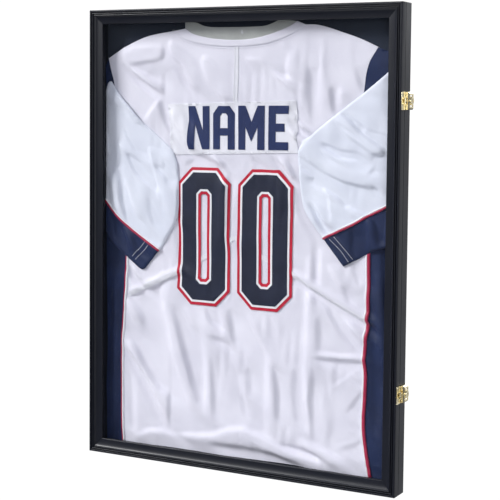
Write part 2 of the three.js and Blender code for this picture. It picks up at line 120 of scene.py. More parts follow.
def make_floor():
    """A pale disc well below the frame."""
    radius, drop, count = 1.6, -1.25, 96
    turns = [2 * math.pi * k / count for k in range(count)]
    mesh = bpy.data.meshes.new("floor")
    rim = [(radius * math.cos(turn), radius * math.sin(turn), drop) for turn in turns]
    mesh.from_pydata(rim, [], [tuple(range(count))])
    floor = bpy.data.objects.new("floor", mesh)
    bpy.context.scene.collection.objects.link(floor)
    paint = Finish("floor_paint", (0.82, 0.82, 0.81), 0.8)
    cloud = paint.noise(3.0, detail=4.0)
    paint.colours(cloud, [(0.3, (0.80, 0.80, 0.79)), (0.7, (0.84, 0.84, 0.83))])
    mesh.materials.append(paint.material)


# ---- finishes ----

class Finish:
    """A Principled material whose colour, roughness and bump come from procedural nodes in object space."""

    def __init__(self, name, colour, roughness, metallic=0.0):
        self.material = bpy.data.materials.new(name)
        self.material.use_nodes = True
        self.tree = self.material.node_tree
        self.bsdf = self.tree.nodes["Principled BSDF"]
        self.bsdf.inputs["Base Color"].default_value = (*colour, 1.0)
        self.bsdf.inputs["Roughness"].default_value = roughness
        self.bsdf.inputs["Metallic"].default_value = metallic
        self.place = self.add("ShaderNodeTexCoord").outputs["Object"]
        self.material.diffuse_color = (*colour, 1.0)

    def add(self, kind, inputs=(), **settings):
        """A new shader node, with some of its inputs' values and of its settings."""
        node = self.tree.nodes.new(kind)
        for key, value in dict(inputs).items():
            node.inputs[key].default_value = value
        for key, value in settings.items():
            setattr(node, key, value)
        return node

    def link(self, source, target):
        self.tree.links.new(source, target)

    def stretched(self, scale):
        """Object space scaled by three factors, so that a pattern runs long where its factor is small."""
        mapping = self.add("ShaderNodeMapping", {"Scale": scale})
        self.link(self.place, mapping.inputs["Vector"])
        return mapping.outputs["Vector"]

    def noise(self, scale, detail=3.0, rough=0.5, place=None, distortion=0.0):
        values = {"Scale": scale, "Detail": detail, "Roughness": rough, "Distortion": distortion}
        node = self.add("ShaderNodeTexNoise", values)
        self.link(place or self.place, node.inputs["Vector"])
        return node.outputs["Fac"]

    def cells(self, scale, place=None):
        node = self.add("ShaderNodeTexVoronoi", {"Scale": scale})
        self.link(place or self.place, node.inputs["Vector"])
        return node.outputs["Distance"]

    def bands(self, scale, direction, distortion=0.0):
        values = {"Scale": scale, "Distortion": distortion}
        node = self.add("ShaderNodeTexWave", values, wave_type="BANDS", bands_direction=direction)
        self.link(self.place, node.inputs["Vector"])
        return node.outputs["Fac"]

    def math(self, operation, first, second):
        node = self.add("ShaderNodeMath", operation=operation)
        for socket, value in zip(node.inputs, (first, second)):
            if isinstance(value, (int, float)):
                socket.default_value = value
            else:
                self.link(value, socket)
        return node.outputs["Value"]

    def blend(self, first, share, second, rest):
        """A sum of two patterns, each times its share."""
        return self.math("ADD", self.math("MULTIPLY", first, share), self.math("MULTIPLY", second, rest))

    def colours(self, source, stops):
        node = self.add("ShaderNodeValToRGB")
        elements = node.color_ramp.elements
        while len(elements) < len(stops):
            elements.new(0.5)
        for element, (position, colour) in zip(elements, stops):
            element.position = position
            element.color = (*colour, 1.0)
        self.link(source, node.inputs["Fac"])
        self.link(node.outputs["Color"], self.bsdf.inputs["Base Color"])

    def roughness(self, source, low, high):
        node = self.add("ShaderNodeMapRange", {"To Min": low, "To Max": high})
        self.link(source, node.inputs["Value"])
        self.link(node.outputs["Result"], self.bsdf.inputs["Roughness"])

    def bump(self, source, depth, strength):
        node = self.add("ShaderNodeBump", {"Strength": strength, "Distance": depth})
        self.link(source, node.inputs["Height"])
        self.link(node.outputs["Normal"], self.bsdf.inputs["Normal"])

    def set(self, values):
        for key, value in values.items():
            self.bsdf.inputs[key].default_value = value


def black_wood(name, along):
    """Satin black lacquer over a fine grain that runs along one axis."""
    finish = Finish(name, (0.005, 0.0055, 0.007), 0.36)
    across = [900.0, 900.0, 900.0]
    across[along] = 22.0
    grain = finish.noise(1.0, detail=4.0, rough=0.6, place=finish.stretched(across))
    haze = finish.noise(14.0, detail=4.0)
    # the lacquer is near-black; the blue tint in its colour is a painted reflection of the bluish room
    finish.colours(grain, [(0.35, (0.0036, 0.0046, 0.0090)), (0.7, (0.0068, 0.0080, 0.0138))])
    finish.roughness(haze, 0.30, 0.42)
    finish.bump(grain, 0.00010, 0.5)
    finish.set({"Specular IOR Level": 0.34})
    return finish.material


def fibreboard():
    finish = Finish("fibreboard", (0.16, 0.09, 0.05), 0.75)
    fibres = finish.noise(1.0, detail=5.0, rough=0.7, place=finish.stretched((900.0, 900.0, 260.0)))
    browns = [(0.11, 0.060, 0.030), (0.17, 0.098, 0.052), (0.25, 0.155, 0.090)]
    finish.colours(fibres, list(zip((0.25, 0.55, 0.8), browns)))
    finish.bump(fibres, 0.0002, 0.6)
    return finish.material


def felt():
    finish = Finish("felt", (0.012, 0.018, 0.040), 0.95)
    pile = finish.noise(1400.0, detail=4.0, rough=0.7)
    nap = finish.noise(9.0, detail=3.0)
    both = finish.blend(pile, 0.6, nap, 0.4)
    finish.colours(both, [(0.35, (0.006, 0.010, 0.021)), (0.65, (0.012, 0.023, 0.052))])
    finish.bump(pile, 0.0003, 0.7)
    finish.set({"Sheen Weight": 0.10, "Sheen Roughness": 0.6})
    return finish.material


def clear_acrylic():
    finish = Finish("clear_acrylic", (0.03, 0.035, 0.04), 0.05)
    smears = finish.noise(7.0, detail=5.0, distortion=1.2)
    finish.roughness(smears, 0.02, 0.10)
    finish.colours(smears, [(0.2, (0.020, 0.024, 0.028)), (0.8, (0.040, 0.046, 0.052))])
    finish.set({"Alpha": 0.04})
    return finish.material


def brass():
    finish = Finish("brass", (0.95, 0.85, 0.58), 0.2, metallic=1.0)
    brushed = finish.noise(1.0, detail=3.0, place=finish.stretched((2600.0, 2600.0, 160.0)))
    stain = finish.noise(240.0, detail=4.0)
    finish.colours(stain, [(0.3, (0.86, 0.72, 0.42)), (0.6, (0.97, 0.88, 0.60))])
    finish.roughness(brushed, 0.12, 0.32)
    finish.bump(brushed, 0.00003, 0.5)
    return finish.material


def steel():
    finish = Finish("steel", (0.50, 0.51, 0.53), 0.35, metallic=1.0)
    brushed = finish.noise(1.0, detail=3.0, place=finish.stretched((2400.0, 2400.0, 200.0)))
    finish.colours(brushed, [(0.3, (0.40, 0.41, 0.43)), (0.7, (0.60, 0.61, 0.63))])
    finish.roughness(brushed, 0.25, 0.5)
    finish.bump(brushed, 0.00004, 0.5)
    return finish.material


def black_plastic():
    finish = Finish("black_plastic", (0.020, 0.020, 0.022), 0.55)
    pores = finish.cells(1500.0)
    finish.colours(finish.noise(30.0), [(0.3, (0.016, 0.016, 0.018)), (0.7, (0.026, 0.026, 0.028))])
    finish.bump(pores, 0.00008, 0.5)
    return finish.material


LOOPS_PER_METRE = 1000 / 1.3  # across the knit; a loop is a third longer than it is wide
BAND_SCALE = 314.0  # of a band texture with its bands 1 mm apart
TWILL_PITCH = 0.9  # millimetres between two diagonal lines
RIB_PITCH = 2.0


def knit(name, dark, light, roughness=0.72, sheen=0.2):
    """Warp-knitted jersey: rows of small loops, painted lighter on their tops with painted shade in the gaps
    between them, and a slow change of tone.
    """
    finish = Finish(name, light, roughness)
    fine = finish.stretched((LOOPS_PER_METRE, LOOPS_PER_METRE, 0.76 * LOOPS_PER_METRE))
    loops = finish.cells(1.0, place=fine)
    tone = finish.noise(16.0, detail=4.0)
    # the loop pattern also darkens the colour towards the gaps between loops, where the bump sinks: painted
    # shade in the hollows and painted light on the loop tops
    finish.colours(finish.blend(loops, 0.35, tone, 0.75), [(0.3, light), (0.75, dark)])
    finish.roughness(tone, roughness - 0.06, roughness + 0.08)
    finish.bump(finish.math("SUBTRACT", 1.0, loops), 0.00016, 0.6)
    finish.set({"Sheen Weight": sheen, "Sheen Roughness": 0.5, "Specular IOR Level": 0.3})
    return finish.material


def twill(name, dark, light):
    """Sewn-on twill: fine diagonal lines, with a slow change of tone."""
    finish = Finish(name, light, 0.6)
    lines = finish.bands(BAND_SCALE / TWILL_PITCH / 1.41, "DIAGONAL")
    tone = finish.noise(40.0, detail=4.0)
    finish.colours(finish.blend(lines, 0.4, tone, 0.6), [(0.3, dark), (0.75, light)])
    finish.roughness(tone, 0.52, 0.68)
    finish.bump(lines, 0.00012, 0.5)
    finish.set({"Sheen Weight": 0.03, "Sheen Roughness": 0.5, "Specular IOR Level": 0.3})
    return finish.material


def rib(name, dark, light):
    """Ribbed collar knit, whose ribs run up and down."""
    finish = Finish(name, light, 0.8)
    ribs = finish.bands(BAND_SCALE / RIB_PITCH, "X", distortion=0.3)
    tone = finish.noise(25.0, detail=4.0)
    finish.colours(finish.blend(ribs, 0.45, tone, 0.55), [(0.25, dark), (0.8, light)])
    finish.bump(ribs, 0.0003, 0.6)
    finish.set({"Sheen Weight": 0.2, "Sheen Roughness": 0.5})
    return finish.material


def thread(name, dark, light):
    """Twisted sewing thread."""
    finish = Finish(name, light, 0.45)
    twist = finish.bands(700.0, "DIAGONAL")
    finish.colours(twist, [(0.2, dark), (0.8, light)])
    finish.bump(twist, 0.0001, 0.5)
    return finish.material


WHITE = knit("white_knit", (0.67, 0.66, 0.75), (0.81, 0.80, 0.885))
SLEEVE_WHITE = knit("sleeve_knit", (0.66, 0.69, 0.79), (0.79, 0.82, 0.91))
NAVY = knit("navy_knit", (0.005, 0.0125, 0.050), (0.010, 0.0235, 0.088), roughness=0.6, sheen=0.03)
PLATE_WHITE = twill("plate_twill", (0.72, 0.72, 0.79), (0.84, 0.84, 0.89))
DIGIT_NAVY = twill("digit_twill", (0.006, 0.009, 0.024), (0.013, 0.018, 0.045))
DIGIT_WHITE = twill("inner_border_twill", (0.78, 0.78, 0.82), (0.90, 0.90, 0.92))
DIGIT_RED = twill("outer_border_twill", (0.42, 0.006, 0.026), (0.60, 0.012, 0.045))
LETTER_NAVY = twill("letter_twill", (0.007, 0.016, 0.075), (0.014, 0.030, 0.120))
COLLAR_GREY = rib("collar_rib", (0.30, 0.31, 0.30), (0.50, 0.52, 0.50))
WHITE_THREAD = thread("white_thread", (0.74, 0.75, 0.79), (0.92, 0.92, 0.94))
PIPING_RED = thread("red_piping", (0.34, 0.008, 0.042), (0.50, 0.016, 0.078))
PIPING_WHITE = thread("white_piping", (0.76, 0.77, 0.80), (0.90, 0.90, 0.93))


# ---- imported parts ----

SHARP_TURN = 32  # degrees
EDGE_WIDTHS = {"black_wood": 0.0004, "brass": 0.00015, "steel": 0.00015}


def soften_edges(node, width):
    """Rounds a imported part's hard edges a little, so that they catch the light as real ones do."""
    weld = node.modifiers.new("weld", "WELD")
    weld.merge_threshold = 0.00001
    bevel = node.modifiers.new("edges", "BEVEL")
    bevel.width = width
    bevel.segments = 2
    bevel.limit_method = "ANGLE"
    bevel.angle_limit = math.radians(35)
    bevel.harden_normals = True


def shade_smooth(node):
    """Smooth shading, with the edges that turn by more than SHARP_TURN kept sharp."""
    mesh = node.data
    if mesh.has_custom_normals:
        bpy.context.view_layer.objects.active = node
        bpy.ops.mesh.customdata_custom_splitnormals_clear()
    mesh.polygons.foreach_set("use_smooth", [True] * len(mesh.polygons))
    mesh.set_sharp_from_angle(angle=math.radians(SHARP_TURN))


def finish_parts():
    """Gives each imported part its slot's finish."""
    upright = black_wood("black_wood_upright", 2)
    level = black_wood("black_wood_level", 0)
    finishes = {
        "black_wood": upright,
        "fibreboard": fibreboard(),
        "felt": felt(),
        "clear_acrylic": clear_acrylic(),
        "brass": brass(),
        "steel": steel(),
        "black_plastic": black_plastic(),
        "white_knit": WHITE,
    }
    for row in frame["record"]["subparts"]:
        node = frame["nodes"][row["node"]]
        slot = row["material_slot"]
        lies_level = slot == "black_wood" and row["node"].endswith(("_top", "_bottom"))
        node.data.materials.clear()
        node.data.materials.append(level if lies_level else finishes[slot])
        node.data.polygons.foreach_set("material_index", [0] * len(node.data.polygons))
        shade_smooth(node)
        if slot in EDGE_WIDTHS:
            soften_edges(node, EDGE_WIDTHS[slot])


# ---- curves and folds ----

def smooth_path(points, step=3.0):
    """A Catmull-Rom curve through the points, sampled about every step millimetres."""
    points = np.array(points, float)
    padded = np.vstack([2 * points[0] - points[1], points, 2 * points[-1] - points[-2]])
    found = []
    for a, b, c, d in zip(padded, padded[1:], padded[2:], padded[3:]):
        count = max(1, int(round(np.linalg.norm(c - b) / step)))
        t = (np.arange(count) / count)[:, None]
        found.append(
            0.5 * (2 * b + (c - a) * t + (2 * a - 5 * b + 4 * c - d) * t**2 + (3 * b - a - 3 * c + d) * t**3)
        )
    return np.vstack([*found, points[-1:]])


def joined(*paths):
    """A closed outline of several smooth spans that meet at corners."""
    loop = np.vstack([smooth_path(path) for path in paths])
    gap = np.linalg.norm(loop - np.roll(loop, 1, axis=0), axis=1)
    return loop[gap > 0.2]


def offset_path(path, side):
    """The path moved sideways, to its left where side is positive."""
    path = np.array(path, float)
    along = np.gradient(path, axis=0)
    along /= np.linalg.norm(along, axis=1)[:, None]
    return path + side * np.stack([-along[:, 1], along[:, 0]], axis=1)


def near_path(u, v, path, closed=False):
    """Distance from each point to the path, and how far along it, from 0 to 1, the nearest point is."""
    path = np.array(path, float)
    if closed:
        path = np.vstack([path, path[:1]])
    lengths = np.linalg.norm(np.diff(path, axis=0), axis=1)
    total, start = lengths.sum(), 0.0
    best = np.full(np.shape(u), 1e9)
    share = np.zeros(np.shape(u))
    for a, b, length in zip(path, path[1:], lengths):
        way = (b - a) / length
        t = np.clip((u - a[0]) * way[0] + (v - a[1]) * way[1], 0, length)
        d = np.hypot(u - a[0] - way[0] * t, v - a[1] - way[1] * t)
        closer = d < best
        best = np.where(closer, d, best)
        share = np.where(closer, (start + t) / total, share)
        start += length
    return best, share


def inside(u, v, loop):
    """True for points inside a closed outline."""
    u, v = np.asarray(u, float), np.asarray(v, float)
    found = np.zeros(u.shape, bool)
    for (au, av), (bu, bv) in zip(loop, np.roll(loop, -1, axis=0)):
        if av == bv:
            continue
        crosses = (av > v) != (bv > v)
        found ^= crosses & (u < (bu - au) * (v - av) / (bv - av) + au)
    return found


def smoothstep(x, low, high):
    t = np.clip((x - low) / (high - low), 0, 1)
    return t * t * (3 - 2 * t)


def flank(u, v, path, width, rise):
    """How steeply the cloth climbs near one flank of a fold. It fades towards the flank's two ends."""
    d, share = near_path(u, v, path)
    return rise * np.exp(-((d / width) ** 2)) * (0.2 + 0.8 * np.sin(np.pi * share) ** 0.6)


FOLD_SLOPE = 0.34  # of a flank whose rise is 1
FOLD_REACH = 26.0  # how far past a flank the cloth is back to level
FOLD_FALL = 0.55  # how far down the way across the folds goes, for each millimetre to the right
FOLD_WAY = 1.14  # the length of that way, for each millimetre to the right


def folds(u, v, table):
    """Heights over a grid whose slopes follow a table of flanks. From the upper left to the lower right the
    cloth climbs across each flank, or drops where its rise is negative, and then comes back to level."""
    slope = FOLD_SLOPE * sum(flank(u, v, path, width, rise) for width, rise, *path in table)
    step = u[1, 0] - u[0, 0]
    kept = math.exp(-step / FOLD_REACH)
    height = np.zeros(u.shape)
    for i in range(1, len(u)):
        before = np.interp(v[i] + FOLD_FALL * step, v[i], height[i - 1])
        height[i] = kept * before + FOLD_WAY * step * slope[i]
    return height


def ripples(u, v, seed, length, lean=0.0, spread=0.25):
    """Uneven ripples about a length apart, whose lines run up and down when lean is 0 degrees. They are
    nearly parallel where spread is small."""
    waves = 9
    random = np.random.default_rng(seed)
    total = np.zeros(np.shape(u))
    for _ in range(waves):
        angle = math.radians(lean) + random.normal(0, spread)
        pitch = length * math.exp(random.normal(0, 0.3))
        phase = random.uniform(0, 2 * math.pi)
        total += np.sin(2 * math.pi * (u * math.cos(angle) + v * math.sin(angle)) / pitch + phase)
    return total / math.sqrt(waves)


def limited(value, low, high):
    """Values between two limits, which they approach softly."""
    middle, half = (low + high) / 2, (high - low) / 2
    return middle + half * np.tanh((value - middle) / half)


# Each row is the half-width of a fold's flank, its rise, and the points of the line that it follows.
LOWER_FOLDS = [
    (12, 2.4, (-152, -60), (-150, -130), (-128, -210), (-92, -302)),
    (10, 2.2, (-238, -196), (-206, -238), (-180, -280), (-154, -334)),
    (8, -2.4, (-242, -210), (-200, -262), (-160, -338)),
    (9, -2.7, (-238, -165), (-212, -190), (-198, -225), (-165, -268)),
    (3, -2.2, (-143, -205), (-143, -280), (-144, -350)),
    (9, -2.5, (-145, -112), (-130, -155), (-110, -215), (-84, -292)),
    (8, 1.1, (-112, -120), (-95, -155)),
    (10, 1.3, (-75, -118), (-66, -220), (-66, -315)),
    (6, -1.8, (-57, -200), (-52, -310)),
    (4, -1.5, (-70, -118), (-62, -138), (-48, -148)),
    (6, 1.3, (-40, -118), (-32, -170)),
    (5, -2.0, (-22, -120), (-12, -180)),
    (5, -1.1, (-65, -168), (-35, -178)),
    (8, 1.3, (-236, -118), (-215, -152)),
    (7, 1.1, (-222, -255), (-213, -370)),
    (5, -1.5, (-229, -250), (-226, -352)),
    (15, -1.8, (-205, -110), (-182, -190)),
    (3, -0.8, (-210, -188), (-160, -188)),
    (5, -1.4, (14, -216), (20, -262)),
    (5, 0.8, (0, -232), (15, -300)),
    (4, -1.3, (2, -268), (11, -304)),
    (5, -1.9, (65, -208), (72, -260), (74, -304)),
    (9, 1.3, (55, -190), (57, -330)),
    (5, -1.8, (107, -212), (104, -255), (111, -302)),
    (8, 2.2, (131, -20), (131, -120), (128, -200), (127, -260), (136, -322)),
    (5, -2.4, (139, -200), (135, -260), (141, -332)),
    (6, -1.3, (148, -118), (150, -180)),
    (5, 0.7, (15, -125), (60, -204)),
    (3, -2.4, (165, -105), (200, -150), (216, -166)),
    (7, 1.2, (186, -108), (228, -152)),
    (4, 1.5, (140, -181), (185, -181), (232, -178)),
    (4, -2.2, (138, -187), (185, -189), (232, -187)),
    (3, 0.7, (175, -236), (221, -200)),
    (4, -1.4, (204, -276), (232, -236)),
    (6, -1.3, (170, -250), (175, -300), (168, -342)),
    (5, -1.1, (192, -338), (216, -332), (230, -322)),
    (7, 1.9, (-118, -353), (-60, -347), (-20, -333), (0, -329), (30, -336), (80, -352), (122, -360),
     (166, -366)),
    (6, 1.9, (118, -334), (150, -345), (184, -359)),
    (7, -1.5, (-60, -362), (0, -364), (40, -367), (120, -376)),
    (5, -1.4, (60, -343), (110, -348), (150, -357)),
    (6, 0.8, (-150, -348), (-186, -354), (-216, -370)),
    (4, 2.2, (-232, -102), (-190, -83), (-152, -66), (-118, -50)),
    (3.5, -3.2, (-230, -114), (-188, -94), (-150, -77), (-118, -62)),
    (4, 2.4, (96, -42), (151, -72), (238, -113)),
    (3.5, -3.6, (96, -55), (150, -84), (236, -126)),
    (4, -2.6, (-233, -58), (-225, -78), (-206, -91)),
    (5, 2.0, (-223, -56), (-208, -82)),
    (6, -1.8, (-130, 28), (-126, -10), (-121, -44)),
    (5, -2.0, (139, 8), (139, -60), (141, -112)),
    (5, 1.6, (150, -4), (152, -66)),
    (3, -1.8, (156, -86), (182, -124)),
    (3, -1.6, (192, -60), (208, -100)),
    (5, 1.3, (165, -28), (192, -64)),
    (4, -1.6, (208, -26), (221, -58)),
    (6, -2.4, (262, 20), (272, -80), (275, -160)),
    (6, 2.0, (250, -40), (256, -120), (262, -190)),
    (5, -2.0, (244, -150), (250, -230), (248, -300)),
    (7, 1.5, (262, -220), (262, -330)),
    (5, 2.0, (-264, -60), (-263, -200), (-267, -340)),
    (5, -2.0, (-252, -80), (-254, -220), (-256, -340)),
]
UPPER_FOLDS = [
    (3, -2.6, (-246, 301), (-222, 282), (-187, 259)),
    (5, 1.1, (-236, 304), (-180, 268)),
    (4, 1.0, (-200, 203), (-160, 252)),
    (5, -3.2, (-166, 244), (-152, 205), (-126, 165), (-103, 148)),
    (9, 2.5, (-152, 226), (-128, 190), (-104, 160)),
    (4, -2.2, (-119, 233), (-111, 204)),
    (4, -1.2, (-156, 350), (-158, 300), (-158, 250)),
    (12, 1.2, (-250, 322), (-160, 328)),
    (7, -1.3, (-232, 300), (-190, 308), (-152, 322)),
    (5, -1.2, (-192, 284), (-166, 298)),
    (6, 1.8, (-146, 345), (-134, 314)),
    (4, -0.8, (-140, 312), (-118, 272), (-104, 256)),
    (8, 1.2, (-86, 330), (-65, 285), (-34, 246)),
    (3, -2.6, (42, 313), (55, 305), (73, 288)),
    (4, 0.7, (58, 290), (88, 270)),
    (5, -1.5, (129, 358), (129, 250), (131, 196)),
    (8, 0.8, (145, 350), (145, 220)),
    (5, -0.6, (160, 345), (158, 270)),
    (4, -2.3, (167, 264), (173, 222)),
    (6, 1.3, (184, 262), (179, 236)),
    (6, -2.0, (211, 332), (218, 285), (224, 262)),
    (5, 1.2, (226, 322), (224, 286)),
    (4, -2.2, (88, 238), (104, 212), (121, 204)),
    (4, -2.2, (84, 214), (102, 193), (121, 186)),
    (4, 1.5, (92, 222), (116, 197)),
    (6, 1.5, (84, 200), (116, 176)),
    (4, -1.2, (-112, 129), (-84, 145), (-60, 132)),
    (4, 1.1, (-60, 148), (-36, 134)),
    (4, -1.1, (-52, 150), (-30, 128)),
    (4, -0.9, (18, 146), (36, 130)),
    (4, -1.3, (56, 146), (76, 124), (94, 104)),
    (4, 1.3, (70, 148), (96, 110)),
    (4, -1.2, (86, 148), (104, 112)),
    (8, 1.3, (-38, 115), (-40, 0)),
    (5, -1.0, (-26, 120), (-28, 20)),
    (10, -1.6, (106, 120), (114, 62), (148, 8)),
    (7, -1.6, (5, 326), (38, 328), (64, 338)),
    (6, 0.9, (0, 312), (42, 316), (80, 340)),
    (5, -1.0, (-142, 350), (-112, 338), (-80, 330)),
    (3, -1.6, (-75, 332), (-40, 324), (-10, 314)),
    (9, 1.2, (-120, 318), (-96, 262)),
    (8, 1.1, (92, 326), (84, 268)),
]
LEFT_SLEEVE_FOLDS = [
    (5, 1.0, (-258, 254), (-202, 204)),
    (4, -2.4, (-241, 196), (-226, 188), (-206, 198)),
    (6, -2.8, (-284, 235), (-274, 190), (-262, 130)),
    (8, 1.2, (-268, 215), (-250, 150), (-246, 90)),
    (4, -2.0, (-233, 146), (-216, 118), (-194, 98)),
    (5, -0.8, (-178, 128), (-160, 114)),
    (7, 1.5, (-268, 110), (-256, 46)),
    (6, 1.3, (-236, 100), (-212, 30)),
    (5, -2.3, (-252, 118), (-244, 60), (-228, 24), (-208, 4)),
    (6, -0.8, (-190, 70), (-176, 20)),
    (4, -1.2, (-286, 148), (-270, 132)),
    (8, 0.9, (-160, 100), (-146, 40)),
    (4, -1.3, (-268, 30), (-252, -10)),
    (5, 1.3, (-240, 14), (-222, -30)),
    (4, -1.2, (-222, 0), (-206, -34)),
    (3, -1.0, (-262, 236), (-232, 176), (-216, 150)),
    (3, 1.1, (-190, 160), (-170, 104), (-166, 60)),
    (3, -0.9, (-158, 138), (-148, 92)),
    (3, 1.0, (-280, 180), (-262, 160)),
]
RIGHT_SLEEVE_FOLDS = [
    (4, 1.1, (178, 222), (216, 200)),
    (3, -2.4, (182, 206), (210, 187), (240, 168)),
    (5, 2.5, (178, 212), (206, 188), (252, 161)),
    (8, -1.8, (268, 163), (244, 146)),
    (3, -2.0, (186, 222), (224, 193), (264, 185)),
    (3.5, -3.0, (106, 148), (118, 133), (150, 118), (180, 111)),
    (6, 1.6, (110, 156), (126, 176)),
    (5, 1.2, (120, 168), (130, 140)),
    (9, 1.6, (160, 136), (200, 121), (246, 118)),
    (6, -1.8, (128, 112), (180, 102), (246, 104)),
    (4, -1.4, (175, 96), (194, 72), (208, 72)),
    (3, -1.7, (128, 72), (148, 40), (162, 22)),
    (4, 1.5, (140, 68), (160, 36)),
    (6, 1.0, (176, 92), (214, 56)),
    (5, -2.0, (246, 104), (236, 62)),
    (5, 0.9, (258, 100), (256, 66)),
    (4, 1.5, (236, 52), (240, 0)),
    (4, -1.8, (248, 60), (256, 6)),
    (5, 1.2, (268, 66), (270, 10)),
    (5, -1.0, (206, 34), (212, -12)),
    (3, -1.4, (150, 172), (176, 158), (214, 156)),
    (3, 1.2, (150, 162), (184, 146), (216, 146)),
    (3, -1.1, (262, 150), (240, 124), (236, 108)),
    (3, 1.0, (140, 118), (166, 84), (172, 40)),
    (3, -1.0, (222, 92), (206, 62)),
]


# ---- cloth surfaces ----

class Cloth:
    """A layer of cloth as a grid of points: where each cloth point (u, v) is, and which way it faces."""

    def __init__(self, across, up, step, depth):
        self.step = step
        self.start = np.array([across[0], up[0]], float)
        u = np.arange(across[0], across[1] + step / 2, step)
        v = np.arange(up[0], up[1] + step / 2, step)
        self.u, self.v = np.meshgrid(u, v, indexing="ij")
        self.move(np.stack([self.u, depth(self.u, self.v), self.v], axis=-1))

    def move(self, places):
        self.places = places
        normal = np.cross(np.gradient(places, axis=0), np.gradient(places, axis=1))
        self.normals = normal / np.linalg.norm(normal, axis=-1)[..., None]

    def read(self, table, points):
        """A table of the grid's, such as its places, read between the grid's points."""
        grid = (np.asarray(points, float) - self.start) / self.step
        limit = np.array(table.shape[:2]) - 2
        corner = np.clip(np.floor(grid).astype(int), 0, limit)
        f = np.clip(grid - corner, 0, 1)
        i, j = corner[:, 0], corner[:, 1]
        fu, fv = f[:, :1], f[:, 1:]
        low = table[i, j] * (1 - fu) + table[i + 1, j] * fu
        high = table[i, j + 1] * (1 - fu) + table[i + 1, j + 1] * fu
        return low * (1 - fv) + high * fv

    def at(self, points, lift=0.0):
        """Where cloth points are, raised off the surface by lift."""
        lift = np.broadcast_to(np.asarray(lift, float), len(points))[:, None]
        return self.read(self.places, points) + lift * self.read(self.normals, points)


HIGHEST = 19.0  # how far in front of the case's back the jersey's body reaches
SLEEVE_LOWEST, SLEEVE_HIGHEST = 10.0, 22.4
SLEEVE_LEVEL = 14.6
SLEEVE_THICKNESS = 2.8  # of the folded sleeve over the body
SLEEVE_ROUNDING = 3.5  # how far in from its outline a sleeve reaches its full height
PIPING_LIFT = 0.5
STITCH_PITCH, STITCH_LENGTH = 3.2, 2.3

SETTLE_FRAMES = 16
SETTLE_GROWTH = 0.006  # the share by which the cloth grows
SETTLE_MOST = 3.0  # how far a point may move
FREE_HALF, FREE_LOW, FREE_HIGH = 262, -368, 340  # the cloth inside these limits is free to settle


def lowest(v):
    """How near the case's back the near layer comes: it stays clear of the far layer and the hanger."""
    return 9.3 + 5.3 * smoothstep(v, 270, 305)


def on_plate(u, v):
    """1 under the name's patch, which stiffens the cloth, and 0 away from it."""
    return smoothstep(-np.abs(u + 24), -132, -105) * smoothstep(-np.abs(v - 195), -58, -38)


def torso_depth(u, v):
    """The y of the body's near layer: its level, the folds, and finer ripples that come and go."""
    height = 13.2 + 1.6 * smoothstep(v, 230, 320)
    height = height + folds(u, v, LOWER_FOLDS) + 1.5 * (1 - 0.65 * on_plate(u, v)) * folds(u, v, UPPER_FOLDS)
    gathers = smoothstep(ripples(u, v, 21, 120, lean=30, spread=1.5), -0.2, 1.0)
    height = height + 0.45 * gathers * ripples(u, v, 5, 22, lean=4, spread=0.16)
    height = height + 0.4 * ripples(u, v, 8, 75, lean=15, spread=0.9)
    by_piping = smoothstep(u, 200, 225) * smoothstep(-v, 90, 130)
    height = height + 0.5 * by_piping * ripples(u, v, 13, 15, lean=62, spread=0.15)
    return -limited(height, lowest(v), HIGHEST)


def eased(places):
    """A grid's places, each drawn a little towards its neighbours."""
    wide = np.pad(places, ((1, 1), (1, 1), (0, 0)), mode="reflect", reflect_type="odd")
    around = wide[:-2, 1:-1] + wide[2:, 1:-1] + wide[1:-1, :-2] + wide[1:-1, 2:]
    return 0.6 * places + 0.1 * around


def settle(cloth):
    """A short cloth simulation: the cloth grows a little while springs hold it near its shape, so it buckles.
    The result is kept within a few millimetres and inside the case."""
    count_u, count_v = cloth.u.shape
    number = np.arange(count_u * count_v).reshape(count_u, count_v)
    quads = np.stack([number[:-1, :-1], number[1:, :-1], number[1:, 1:], number[:-1, 1:]], axis=-1)
    mesh = bpy.data.meshes.new("settling")
    mesh.from_pydata((cloth.places.reshape(-1, 3) * MM).tolist(), [], quads.reshape(-1, 4).tolist())
    sheet = bpy.data.objects.new("settling", mesh)
    bpy.context.scene.collection.objects.link(sheet)
    held = sheet.vertex_groups.new(name="held")
    free = (np.abs(cloth.u) < FREE_HALF) & (cloth.v > FREE_LOW) & (cloth.v < FREE_HIGH)
    held.add(number[~free].tolist(), 1.0, "REPLACE")
    held.add(number[free].tolist(), 0.25, "REPLACE")
    modifier = sheet.modifiers.new("cloth", "CLOTH")
    settings = modifier.settings
    settings.quality = 4
    settings.mass = 0.1
    settings.tension_stiffness = settings.compression_stiffness = 20.0
    settings.shear_stiffness = 4.0
    settings.bending_stiffness = 0.6
    settings.shrink_min = -SETTLE_GROWTH
    settings.vertex_group_mass = "held"
    settings.pin_stiffness = 0.4
    modifier.collision_settings.use_collision = False
    modifier.point_cache.frame_start = 1
    modifier.point_cache.frame_end = SETTLE_FRAMES
    scene = bpy.context.scene
    for now in range(1, SETTLE_FRAMES + 1):
        scene.frame_set(now)
    shaped = sheet.evaluated_get(bpy.context.evaluated_depsgraph_get())
    flat = np.zeros(len(mesh.vertices) * 3)
    shaped.data.vertices.foreach_get("co", flat)
    scene.frame_set(1)
    bpy.data.objects.remove(sheet)
    found = flat.reshape(count_u, count_v, 3) / MM
    moved = np.clip(np.nan_to_num(found - cloth.places), -SETTLE_MOST, SETTLE_MOST)
    for _ in range(9):
        moved = eased(moved)
    across = smoothstep(-np.abs(cloth.u), -FREE_HALF, 37 - FREE_HALF)
    up = smoothstep(cloth.v, FREE_LOW, FREE_LOW + 28) * smoothstep(-cloth.v, -FREE_HIGH, 30 - FREE_HIGH)
    places = cloth.places + moved * (across * up)[..., None]
    places[..., 1] = -np.clip(-places[..., 1], lowest(cloth.v), HIGHEST)
    cloth.move(places)


